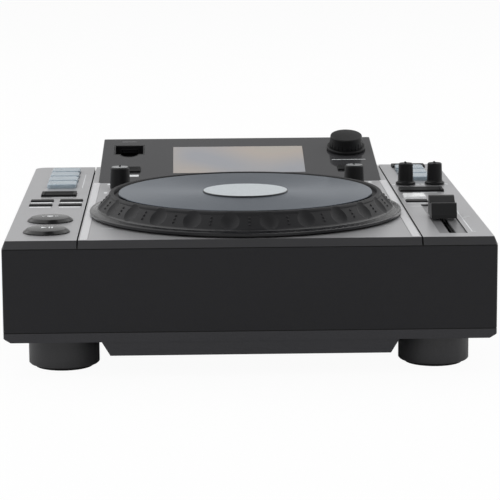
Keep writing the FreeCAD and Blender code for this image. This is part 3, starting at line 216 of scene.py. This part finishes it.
link(into.outputs["Worn"], paint.inputs[7])
link(slow.outputs[0], centred.inputs[0])
link(centred.outputs[0], swing.inputs[0])
link(into.outputs["Smudge"], swing.inputs[1])
link(into.outputs["Rough"], swing.inputs[2])
link(paint.outputs[2], outof.inputs["Colour"])
link(swing.outputs[0], outof.inputs["Rough"])
link(fine.outputs[0], outof.inputs["Height"])


# %% A maker of finishes
def finish(name, colour, rough=0.4, metal=0.0, grain=900.0, bump=0.1, wear=0.25, smudge=0.12, coat=0.0,
           worn="8a8a8c", wax=0.0, spec=0.5):
    """A material that uses the group. Values that are the same all over sit on the shader itself."""
    made = bpy.data.materials.new(name)
    made.use_nodes = True
    net = made.node_tree
    shader = net.nodes["Principled BSDF"]
    where = add(net, "ShaderNodeTexCoord", name="where")
    skin = add(net, "ShaderNodeGroup", node_tree=handled, name="skin")
    for title, value in (("Colour", rgb(colour)), ("Worn", rgb(worn)), ("Rough", rough),
                         ("Smudge", smudge), ("Grain", grain), ("Wear", wear)):
        skin.inputs[title].default_value = value
    relief = add(net, "ShaderNodeBump", name="relief", in_Strength=bump, in_Distance=0.0002)
    net.links.new(where.outputs["Object"], skin.inputs["Vector"])
    net.links.new(skin.outputs["Colour"], shader.inputs["Base Color"])
    net.links.new(skin.outputs["Rough"], shader.inputs["Roughness"])
    net.links.new(skin.outputs["Height"], relief.inputs["Height"])
    net.links.new(relief.outputs[0], shader.inputs["Normal"])
    shader.inputs["Metallic"].default_value = metal
    shader.inputs["Specular IOR Level"].default_value = spec
    shader.inputs["Coat Weight"].default_value = coat
    shader.inputs["Coat Roughness"].default_value = 0.06
    if wax:
        shader.inputs["Subsurface Weight"].default_value = wax
        shader.inputs["Subsurface Radius"].default_value = (0.004, 0.004, 0.004)
        shader.inputs["Subsurface Scale"].default_value = 0.5
    return made


def dress(material, *names):
    """Puts a material into every slot of the named frame nodes."""
    for name in names:
        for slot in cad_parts[name].material_slots:
            slot.material = material
    print(material.name, "on", len(names))


# %% [markdown]
# The pan is powder-coated sheet, and the shell above it is a black moulding with the same fine grain. The
# hood is glossy black plastic, the trim is bright, and the hidden parts have plain metals and plastics.

# %% Case finishes
dress(finish("powder_coat_black", "1b1b1e", 0.5, grain=1500, bump=0.22, wear=0.06, worn="5c5c60",
             spec=0.24), "body_shell")
dress(finish("powder_coat_pan", "303033", 0.5, grain=1500, bump=0.25, wear=0.06, worn="5c5c60",
             spec=0.3), "bottom_pan")
dress(finish("bright_trim", "e4e4e6", 0.3, 0.55, grain=1800, bump=0.05), "deck_trim_strips")
dress(finish("hood_gloss_black", "3a3a3c", 0.08, grain=700, bump=0.01, smudge=0.05, coat=0.5,
             wear=0.15), "display_hood")
dress(finish("recess_black", "141416", 0.35, bump=0.05), "usb_bezel", "data_sockets")
dress(finish("foot_plastic", "303032", 0.48, bump=0.2, grain=1200), "foot_bodies")
dress(finish("sole_rubber", "101012", 0.85, bump=0.5, grain=1400, wear=0.1), "foot_soles")
dress(finish("rear_sheet", "26262a", 0.5, grain=1500, bump=0.2), "rear_panel")
dress(finish("inlet_plastic", "17171a", 0.4, bump=0.12), "power_inlet")
dress(finish("rocker_plastic", "0f0f11", 0.25, bump=0.04, coat=0.3), "power_rocker")
dress(finish("nickel", "bcbab6", 0.24, 1.0, bump=0.03), "audio_sockets", "jog_bearings")
dress(finish("dark_steel", "3c3c40", 0.4, 0.9, bump=0.05), "usb_socket")
dress(finish("zinc_screw", "8f9194", 0.35, 1.0, bump=0.1), "case_screws")
dress(finish("spring_steel", "9b9da0", 0.3, 1.0, grain=1800), "jog_spindle", "jog_encoder_disc",
      "knob_potentiometers", "browse_plunger")
dress(finish("die_cast", "7c7e80", 0.55, 0.9, grain=1100, bump=0.3), "jog_bearing_housing")
dress(finish("module_case", "6e7074", 0.4, 0.7, grain=900), "display_module",
      "power_supply", "browse_encoder")
dress(finish("rail_black", "0b0b0c", 0.5, grain=900, spec=0.2), "fader_module")
dress(finish("board_green", "1c4630", 0.4, bump=0.15, grain=500, coat=0.3), "main_board", "button_boards")

# %% [markdown]
# Two parts of the case meet in gaps that are too fine to go dark by themselves in a picture. Each gap gets
# a narrow band of painted shade at its own height, on the lower of its two parts.


# %% Shade in the seams
def shade_seam(name, low, high):
    """Paints shade into a band of heights, in the gap between two parts."""
    net = bpy.data.materials[name].node_tree
    axes = add(net, "ShaderNodeSeparateXYZ")
    above = add(net, "ShaderNodeMath", operation="GREATER_THAN", in_1=low)
    below = add(net, "ShaderNodeMath", operation="LESS_THAN", in_1=high)
    both = add(net, "ShaderNodeMath", operation="MULTIPLY")
    # Painted shade: inside the band the colour is mixed towards near-black, as the shade of the gap.
    seam_shade_paint = add(net, "ShaderNodeMix", data_type="RGBA", in_7=rgb("040404"))
    net.links.new(net.nodes["where"].outputs["Object"], axes.inputs[0])
    net.links.new(axes.outputs["Z"], above.inputs[0])
    net.links.new(axes.outputs["Z"], below.inputs[0])
    net.links.new(above.outputs[0], both.inputs[0])
    net.links.new(below.outputs[0], both.inputs[1])
    net.links.new(both.outputs[0], seam_shade_paint.inputs[0])
    net.links.new(net.nodes["skin"].outputs["Colour"], seam_shade_paint.inputs[6])
    net.links.new(seam_shade_paint.outputs[2], net.nodes["Principled BSDF"].inputs["Base Color"])
    print("seam on", name, "from", round(low, 5), "to", round(high, 5))


pan_top = 0.0301
shell_top = 0.0848
gap = 0.0006
spill = 0.0001
shade_seam("powder_coat_pan", pan_top - gap - spill, pan_top + spill)
shade_seam("powder_coat_black", shell_top - gap, shell_top + spill)

# %% [markdown]
# The cover's skin is metal only where it lies flat. The upward part of the normal makes the mask: it gives
# the top its satin metal, and the bevels a dark non-metal colour, which is painted shade.

# %% Skin of the cover
satin = finish("satin_metal_skin", "bcbcbe", 0.34, grain=2600, bump=0.05, wear=0.0)
net = satin.node_tree
shader = net.nodes["Principled BSDF"]
facing = add(net, "ShaderNodeNewGeometry")
height_part = add(net, "ShaderNodeSeparateXYZ")
skin_mask = add(net, "ShaderNodeMapRange", in_1=0.9, in_2=0.97)
skin_metal = add(net, "ShaderNodeMath", operation="MULTIPLY", in_1=0.75)
# Painted shade: where the face turns from upward, the bevel gets this dark colour instead of the satin
# skin.
top_paint_and_bevel_shade = add(net, "ShaderNodeMix", data_type="RGBA", in_6=rgb("303032"))
net.links.new(facing.outputs["Normal"], height_part.inputs[0])
net.links.new(height_part.outputs["Z"], skin_mask.inputs[0])
net.links.new(skin_mask.outputs[0], skin_metal.inputs[0])
net.links.new(skin_metal.outputs[0], shader.inputs["Metallic"])
net.links.new(skin_mask.outputs[0], top_paint_and_bevel_shade.inputs[0])
net.links.new(net.nodes["skin"].outputs["Colour"], top_paint_and_bevel_shade.inputs[7])
net.links.new(top_paint_and_bevel_shade.outputs[2], shader.inputs["Base Color"])
dress(satin, "centre_deck", "left_control_panel", "right_control_panel")

# %% [markdown]
# Everything the fingers turn is matt or rubbery, so that it can be found without looking. Keys are black
# and dull, the two round buttons are glossy, and the pads are milky, with a little light inside them.

# %% Control finishes
dress(finish("grip_rubber", "121215", 0.55, grain=2000, bump=0.3, spec=0.3, worn="3c3c40"), "jog_grip_ring")
dress(finish("knob_black", "08080a", 0.45, grain=1800, bump=0.15, worn="2c2c2e", spec=0.22),
      "deck_knob_left", "deck_knob_right", "start_knob", "stop_knob")
dress(finish("browse_rubber", "0a0a0c", 0.45, grain=1800, bump=0.25, worn="2a2a2c", spec=0.25),
      "browse_knob")
dress(finish("key_black", "060608", 0.5, bump=0.02, wear=0.1, spec=0.2), "small_key_1",
      "small_key_2", "small_key_3", "small_key_4", "left_wide_key", "right_rear_key", "right_wide_key",
      "right_small_key", "hood_key_left", "hood_key_right")
dress(finish("button_gloss", "050506", 0.22, bump=0.02, wear=0.1, spec=0.35), "cue_button", "play_button")
dress(finish("milky_pad", "97a5af", 0.26, grain=600, bump=0.03, wear=0.1, worn="dfe8ec", coat=0.15,
             wax=0.4), "left_pad_1", "left_pad_2", "left_pad_3", "left_pad_4", "right_pad_1",
      "right_pad_2", "right_pad_3")
dress(finish("white_key", "fafbfc", 0.28, bump=0.03, wear=0.1, coat=0.3, wax=0.2), "right_white_key")
dress(finish("fader_plate_satin", "8e8e90", 0.36, 0.7, grain=2400, bump=0.05), "fader_plate")
dress(finish("fader_cap_satin", "0a0a0c", 0.36, spec=0.3, bump=0.12, grain=1600, worn="4a4a4c"),
      "fader_cap")

# %% [markdown]
# The grip ring is rubber on its cone and smooth on its flange, which fingers don't hold. The distance from
# the middle of the ring, at the flange's height, tells the two apart.

# %% Flange of the grip ring
axle = Vector((0.0, -0.064, 0.0))
flange_centre = axle + Vector((0.0, 0.0, 0.0926))
flange_from = 0.1012
net = bpy.data.materials["grip_rubber"].node_tree
spread = add(net, "ShaderNodeVectorMath", operation="DISTANCE", in_1=flange_centre)
on_flange = add(net, "ShaderNodeMapRange", in_1=flange_from, in_2=flange_from + 0.001)
sheen = add(net, "ShaderNodeMix", data_type="FLOAT", in_3=0.16)
net.links.new(net.nodes["where"].outputs["Object"], spread.inputs[0])
net.links.new(spread.outputs["Value"], on_flange.inputs[0])
net.links.new(on_flange.outputs[0], sheen.inputs[0])
net.links.new(net.nodes["skin"].outputs["Rough"], sheen.inputs[2])
net.links.new(sheen.outputs[0], net.nodes["Principled BSDF"].inputs["Roughness"])

# %% [markdown]
# The platter is turned aluminium under a blue-grey film. Real turning leaves rings far finer than a
# pixel, which spread each reflection along the radius. A second group turns the distance from the axle
# into such rings, and the same group gives the label disc its pressed edge.

# %% Turned rings
rings, into, outof = group(
    "turned_rings", [("Vector", "NodeSocketVector", None), ("Pitch", "NodeSocketFloat", 3000.0)],
    [("Height", "NodeSocketFloat"), ("Radius", "NodeSocketFloat")])
link = rings.links.new
moved = add(rings, "ShaderNodeVectorMath", operation="SUBTRACT", in_1=axle)
flat = add(rings, "ShaderNodeVectorMath", operation="MULTIPLY", in_1=(1, 1, 0))
far = add(rings, "ShaderNodeVectorMath", operation="LENGTH")
ripple = add(rings, "ShaderNodeTexNoise", noise_dimensions="1D", in_Detail=2.0)
link(into.outputs["Vector"], moved.inputs[0])
link(moved.outputs[0], flat.inputs[0])
link(flat.outputs[0], far.inputs[0])
link(far.outputs["Value"], ripple.inputs["W"])
link(into.outputs["Pitch"], ripple.inputs["Scale"])
link(ripple.outputs[0], outof.inputs["Height"])
link(far.outputs["Value"], outof.inputs["Radius"])


def turned_finish(name, colour, rim_colour, rim_at, rough, metal, **more):
    """A finish whose relief is turned rings, with another colour outside a radius."""
    made = finish(name, colour, rough, metal, **more)
    net = made.node_tree
    lathe = add(net, "ShaderNodeGroup", node_tree=rings)
    lathe.inputs["Pitch"].default_value = 1700.0
    net.links.new(net.nodes["where"].outputs["Object"], lathe.inputs["Vector"])
    net.links.new(lathe.outputs["Height"], net.nodes["relief"].inputs["Height"])
    rim = add(net, "ShaderNodeMapRange", in_1=rim_at, in_2=rim_at + 0.0003)
    paint = add(net, "ShaderNodeMix", data_type="RGBA", in_7=rgb(rim_colour))
    net.links.new(lathe.outputs["Radius"], rim.inputs[0])
    net.links.new(rim.outputs[0], paint.inputs[0])
    net.links.new(net.nodes["skin"].outputs["Colour"], paint.inputs[6])
    net.links.new(paint.outputs[2], net.nodes["Principled BSDF"].inputs["Base Color"])
    return made


platter = turned_finish("platter_film", "38404a", "2a2c30", 0.0870, 0.2, 0.9, bump=0.05, smudge=0.05,
                        wear=0.05)
net = platter.node_tree
spoke = add(net, "ShaderNodeVectorMath", operation="SUBTRACT", in_1=axle)
net.links.new(net.nodes["where"].outputs["Object"], spoke.inputs[0])
net.links.new(spoke.outputs[0], net.nodes["Principled BSDF"].inputs["Tangent"])
shader = net.nodes["Principled BSDF"]
shader.inputs["Anisotropic"].default_value = 0.85
shader.inputs["Specular Tint"].default_value = (0.72, 0.755, 0.8, 1)
dress(platter, "jog_platter")
dress(turned_finish("label_film", "c0c7cb", "1a1c20", 0.0286, 0.35, 0.1, bump=0.03, smudge=0.06),
      "jog_label_disc")

# %% [markdown]
# The window is one laminate: glass on top, a screen bonded under it. The screen is switched off; its pale
# colour in faint pastel bands is a painted reflection of the bright studio. Slow noise sets the tint, and a
# clear coat makes the glass.

# %% Screen
hood_turn = Matrix.Translation((0, 0.0799, 0.0896)) @ Matrix.Rotation(math.radians(14.645), 4, "X")
screen = finish("screen_laminate", "a9a9ac", 0.22, 0.0, bump=0.0, wear=0.0, coat=1.0)
net = screen.node_tree
# Painted reflection: slow pastel bands stand in for the bright studio mirrored in the glass.
reflection_bands = add(net, "ShaderNodeTexNoise", in_Scale=13.0, in_Detail=0.0, in_Distortion=0.3)
painted_reflection_ramp = add(net, "ShaderNodeValToRGB")
painted_reflection_ramp.color_ramp.elements[0].position = 0.3
painted_reflection_ramp.color_ramp.elements[0].color = rgb("b0b2a6")
painted_reflection_ramp.color_ramp.elements[1].position = 0.72
painted_reflection_ramp.color_ramp.elements[1].color = rgb("a0a2a8")
middle_stop = painted_reflection_ramp.color_ramp.elements.new(0.5)
middle_stop.color = rgb("b6aca3")
net.links.new(net.nodes["where"].outputs["Object"], reflection_bands.inputs["Vector"])
net.links.new(reflection_bands.outputs[0], painted_reflection_ramp.inputs[0])
net.links.new(painted_reflection_ramp.outputs[0], net.nodes["Principled BSDF"].inputs["Base Color"])
dress(screen, "display_glass")

# %% [markdown]
# Screen print is a film of ink. Each mark is a thin slab with round ends that stands a few hundredths of
# a millimetre out of the face that carries it, so it catches light at its edge as real ink does.


# %% Slabs and pieces
def slab(bm, outline, low, high):
    """A closed flat form between two heights, from its outline taken anticlockwise."""
    base = [bm.verts.new((x, y, low)) for x, y in outline]
    top = [bm.verts.new((x, y, high)) for x, y in outline]
    bm.faces.new(base[::-1])
    bm.faces.new(top)
    for i in range(len(outline)):
        bm.faces.new((base[i - 1], base[i], top[i], top[i - 1]))


def rounded(x0, x1, y0, y1, radius, steps=4):
    """The outline of a rectangle with round corners."""
    radius = min(radius, (x1 - x0) / 2, (y1 - y0) / 2)
    points = []
    for cx, cy, start in ((x1, y1, 0), (x0, y1, 90), (x0, y0, 180), (x1, y0, 270)):
        mx = cx - radius if cx == x1 else cx + radius
        my = cy - radius if cy == y1 else cy + radius
        for k in range(steps + 1):
            a = math.radians(start + 90 * k / steps)
            points.append((mx + radius * math.cos(a), my + radius * math.sin(a)))
    return points


def circle(x, y, radius, count=24):
    """The outline of a circle as an even polygon."""
    return [(x + radius * math.cos(i * math.tau / count), y + radius * math.sin(i * math.tau / count))
            for i in range(count)]


def piece(name, forms, material, body, low, high, place=Matrix.Identity(4)):
    """One mesh from several outlines in millimetres, at two heights, set in its place."""
    bm = bmesh.new()
    for outline in forms:
        slab(bm, [(x / 1000, y / 1000) for x, y in outline], low / 1000, high / 1000)
    bm.transform(place)
    mesh = bpy.data.meshes.new(name)
    bm.to_mesh(mesh)
    bm.free()
    mesh.materials.append(material)
    item = bpy.data.objects.new(name, mesh)
    bpy.context.collection.objects.link(item)
    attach(item, body)
    print(name, len(mesh.polygons), "faces")
    return item


# %% Print on the deck and the strips
front = -176.5
deck = 89.6
print_sunk = 0.05
print_proud = 0.04
ink = finish("white_ink", "e6e8ea", 0.45, bump=0.05, wear=0.0)
grey_ink = finish("grey_ink", "c2c4c6", 0.45, bump=0.05, wear=0.0)
bars = []
for x in (-151.6, -130.8):
    bars.append(rounded(x + 0.6, x + 15.6, front + 161.2, front + 165.2, 0.6))
    bars.append(rounded(x + 0.6, x + 15.6, front + 141.2, front + 145.2, 0.6))
bars.append(rounded(-137.6, -120.3, front + 187.6, front + 188.6, 0.4))
bars.append(rounded(124, 142, front + 194.8, front + 195.8, 0.4))
bars.append(rounded(115.4, 129, front + 144.4, front + 146.0, 0.4))
bars.append(rounded(115.4, 125, front + 130.6, front + 131.4, 0.3))
bars.append(rounded(-117.9, -117.4, front + 233, front + 304, 0.2))
piece("strip_print", bars, ink, "case", deck - print_sunk, deck + print_proud)
dots = [rounded(x - 1.1, x + 1.1, front + 232.5, front + 238.0, 0.5) for x in (114.0, 132.0, 135.6, 153.4)]
dots += [rounded(x - 1.2, x + 1.2, front + d - 3.0, front + d + 3.0, 0.6)
         for x, d in ((-99.6, 208.3), (-98.3, 249.7), (97.4, 249.3), (98.5, 208.9))]
piece("knob_dots", dots, ink, "case", deck - print_sunk, deck + print_proud)
lines = [rounded(91, 101, front + 49.5, front + 50.5, 0.3),
         rounded(-97.6, -89.7, front + 49.5, front + 50.5, 0.3)]
piece("deck_lines", lines, grey_ink, "case", deck - print_sunk, deck + print_proud)

# %% Print on the hood
dim_ink = finish("dim_ink", "77777a", 0.5, bump=0.05, wear=0.0)
piece("hood_print", [rounded(-83.6, -76.4, 12.2, 15.6, 0.5), rounded(71.6, 97.8, 42.0, 42.6, 0.2)], ink,
      "case", -print_sunk, print_proud, hood_turn)
piece("stick_print", [rounded(-90.5, -78.5, 81.8, 82.8, 0.4)], dim_ink,
      "case", -print_sunk, print_proud, hood_turn)

# %% [markdown]
# The cue and play buttons carry the two signs that every player uses. They sit on the button's own dome,
# so they ride on the button and move with it.

# %% Signs on the round buttons
cue_y = front + 85.0
play_y = front + 38.5
sign_low = 92.3
sign_high = 92.66
ring = circle(-133.1, cue_y, 2.2, 32)
piece("cue_sign", [ring, rounded(-138.6, -136.2, cue_y - 0.5, cue_y + 0.5, 0.4),
                   rounded(-130.0, -127.6, cue_y - 0.5, cue_y + 0.5, 0.4)], ink, "cue_button_body",
      sign_low, sign_high)
piece("play_sign", [[(-136.4, play_y - 2.3), (-132.6, play_y), (-136.4, play_y + 2.3)],
                    rounded(-131.6, -130.6, play_y - 2.2, play_y + 2.2, 0.2),
                    rounded(-129.8, -128.8, play_y - 2.2, play_y + 2.2, 0.2)], ink, "play_button_body",
      sign_low, sign_high)

# %% Caps and pointers of the knobs
cap_seat = 105.05
cap_top = 105.4
pointer_low = 105.6
small_pointer_low = 106.1
pointer_thick = 0.1
cap_metal = finish("cap_silver", "9a9c9e", 0.28, 0.8, grain=2200, bump=0.06)
for side, x in (("left", -89.5), ("right", 84.2)):
    y = front + 232.0
    body = "deck_knob_" + side + "_body"
    piece("knob_cap_" + side, [circle(x, y, 6.0, 40)], cap_metal, body, cap_seat, cap_top)
    piece("knob_pointer_" + side, [rounded(x - 0.45, x + 0.45, y + 0.3, y + 5.6, 0.2)], ink, body,
          pointer_low, pointer_low + pointer_thick)
for name, x in (("start", 122.9), ("stop", 144.5)):
    y = front + 236.0
    piece(name + "_pointer", [rounded(x - 0.45, x + 0.45, y - 0.8, y + 4.2, 0.2)], ink, name + "_knob_body",
          small_pointer_low, small_pointer_low + pointer_thick)

# %% Print on the rear panel
rear_turn = Matrix.Translation((0, 0.166, 0)) @ Matrix.Rotation(math.radians(90), 4, "X")
rear_bars = [rounded(x - 4.0, x + 4.0, 64.0, 65.2, 0.5) for x in (8, 33, 62, 82, 106)]
rear_bars += [rounded(56, 88, 67.4, 67.9, 0.2), rounded(2, 39, 67.4, 67.9, 0.2)]
piece("rear_print", rear_bars, grey_ink, "case", -print_proud, print_sunk, rear_turn)

# %% [markdown]
# Between each two dimples of the grip ring stand three small nubs, one above another, for the finger tips.
# There are 72 of them, so Geometry Nodes make them: three circles of points up the cone, a small ball on
# each point, and then real faces, because what rides on a body must be a plain mesh.


# %% Tools for grown pieces
def grown(name, tree, values, body):
    """Runs a tree once, keeps the result as a plain mesh and lets it ride on a body."""
    seed = bpy.data.meshes.new(name + "_seed")
    holder = bpy.data.objects.new(name + "_holder", seed)
    bpy.context.collection.objects.link(holder)
    modifier = holder.modifiers.new("grow", "NODES")
    modifier.node_group = tree
    for item in tree.interface.items_tree:
        if item.in_out == "INPUT" and item.name in values:
            modifier[item.identifier] = values[item.name]
    ready = holder.evaluated_get(bpy.context.evaluated_depsgraph_get())
    mesh = bpy.data.meshes.new_from_object(ready)
    holder.modifiers.remove(modifier)
    bpy.data.objects.remove(holder)
    mesh.name = name
    item = bpy.data.objects.new(name, mesh)
    bpy.context.collection.objects.link(item)
    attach(item, body)
    print(name, len(mesh.polygons), "faces")
    return item


def grower(name, inputs):
    """An empty tree that gives out one geometry, with its input and output nodes."""
    tree = bpy.data.node_groups.new(name, "GeometryNodeTree")
    for title, kind in inputs:
        tree.interface.new_socket(title, in_out="INPUT", socket_type=kind)
    tree.interface.new_socket("Geometry", in_out="OUTPUT", socket_type="NodeSocketGeometry")
    return tree, add(tree, "NodeGroupInput"), add(tree, "NodeGroupOutput")


def sow(tree, points, form, material, outof):
    """Sets a form on every point, makes real faces of the copies and gives them their material."""
    copies = add(tree, "GeometryNodeInstanceOnPoints")
    real = add(tree, "GeometryNodeRealizeInstances")
    paint = add(tree, "GeometryNodeSetMaterial", in_Material=material)
    tree.links.new(points.outputs[0], copies.inputs["Points"])
    tree.links.new(form.outputs[0], copies.inputs["Instance"])
    tree.links.new(copies.outputs[0], real.inputs[0])
    tree.links.new(real.outputs[0], paint.inputs["Geometry"])
    tree.links.new(paint.outputs[0], outof.inputs[0])


# %% Nubs on the grip ring
tree, into, outof = grower("nub_rows", [
    ("Count", "NodeSocketInt"), ("Foot radius", "NodeSocketFloat"), ("Top radius", "NodeSocketFloat"),
    ("Foot height", "NodeSocketFloat"), ("Top height", "NodeSocketFloat"),
    ("Nub radius", "NodeSocketFloat")])
link = tree.links.new
join = add(tree, "GeometryNodeJoinGeometry")
for share in (0.24, 0.5, 0.76):
    wide = add(tree, "ShaderNodeMix", data_type="FLOAT", in_0=share)
    high = add(tree, "ShaderNodeMix", data_type="FLOAT", in_0=share)
    spot = add(tree, "ShaderNodeCombineXYZ", in_Y=axle.y)
    row = add(tree, "GeometryNodeMeshCircle")
    lift = add(tree, "GeometryNodeTransform")
    link(into.outputs["Foot radius"], wide.inputs[2])
    link(into.outputs["Top radius"], wide.inputs[3])
    link(into.outputs["Foot height"], high.inputs[2])
    link(into.outputs["Top height"], high.inputs[3])
    link(into.outputs["Count"], row.inputs["Vertices"])
    link(wide.outputs[0], row.inputs["Radius"])
    link(high.outputs[0], spot.inputs["Z"])
    link(row.outputs[0], lift.inputs["Geometry"])
    link(spot.outputs[0], lift.inputs["Translation"])
    link(lift.outputs[0], join.inputs[0])
ball = add(tree, "GeometryNodeMeshIcoSphere", in_Subdivisions=2)
link(into.outputs["Nub radius"], ball.inputs["Radius"])
sow(tree, join, ball, bpy.data.materials["grip_rubber"], outof)
grown("ring_nubs", tree, {"Count": 24, "Foot radius": 0.1007, "Top radius": 0.0939, "Foot height": 0.0952,
                          "Top height": 0.1027, "Nub radius": 0.00095}, "jog_wheel")

# %% [markdown]
# The fader's scale is a ladder of short ticks beside its slot, longer at the middle and at both ends. A
# mesh line gives the places, a small bar is set on each, and the long marks are listed one by one.

# %% Scale of the fader
tree, into, outof = grower("tick_ladder", [("Count", "NodeSocketInt"), ("Start", "NodeSocketVector"),
                                           ("Step", "NodeSocketVector"), ("Size", "NodeSocketVector")])
link = tree.links.new
ladder = add(tree, "GeometryNodeMeshLine")
bar = add(tree, "GeometryNodeMeshCube")
link(into.outputs["Count"], ladder.inputs["Count"])
link(into.outputs["Start"], ladder.inputs["Start Location"])
link(into.outputs["Step"], ladder.inputs["Offset"])
link(into.outputs["Size"], bar.inputs["Size"])
sow(tree, ladder, bar, ink, outof)
grown("fader_ticks", tree, {"Count": 11, "Start": (0.1474, -0.1525, 0.0896), "Step": (0, 0.0122, 0),
                            "Size": (0.0016, 0.0003, 0.0001)}, "case")
scale_near = -154.0
scale_far = -30.6
long_marks = [rounded(145.7, 146.4, scale_near, scale_far, 0.3),
              rounded(145.8, 149.2, front + 79.0, front + 80.0, 0.3),
              rounded(145.8, 148.6, scale_near, scale_near + 0.6, 0.2),
              rounded(145.8, 148.6, scale_far - 0.6, scale_far, 0.2),
              rounded(148.0, 152.0, front + 84.6, front + 86.0, 0.4)]
piece("fader_scale", long_marks, ink, "case", deck - print_sunk, deck + print_proud)
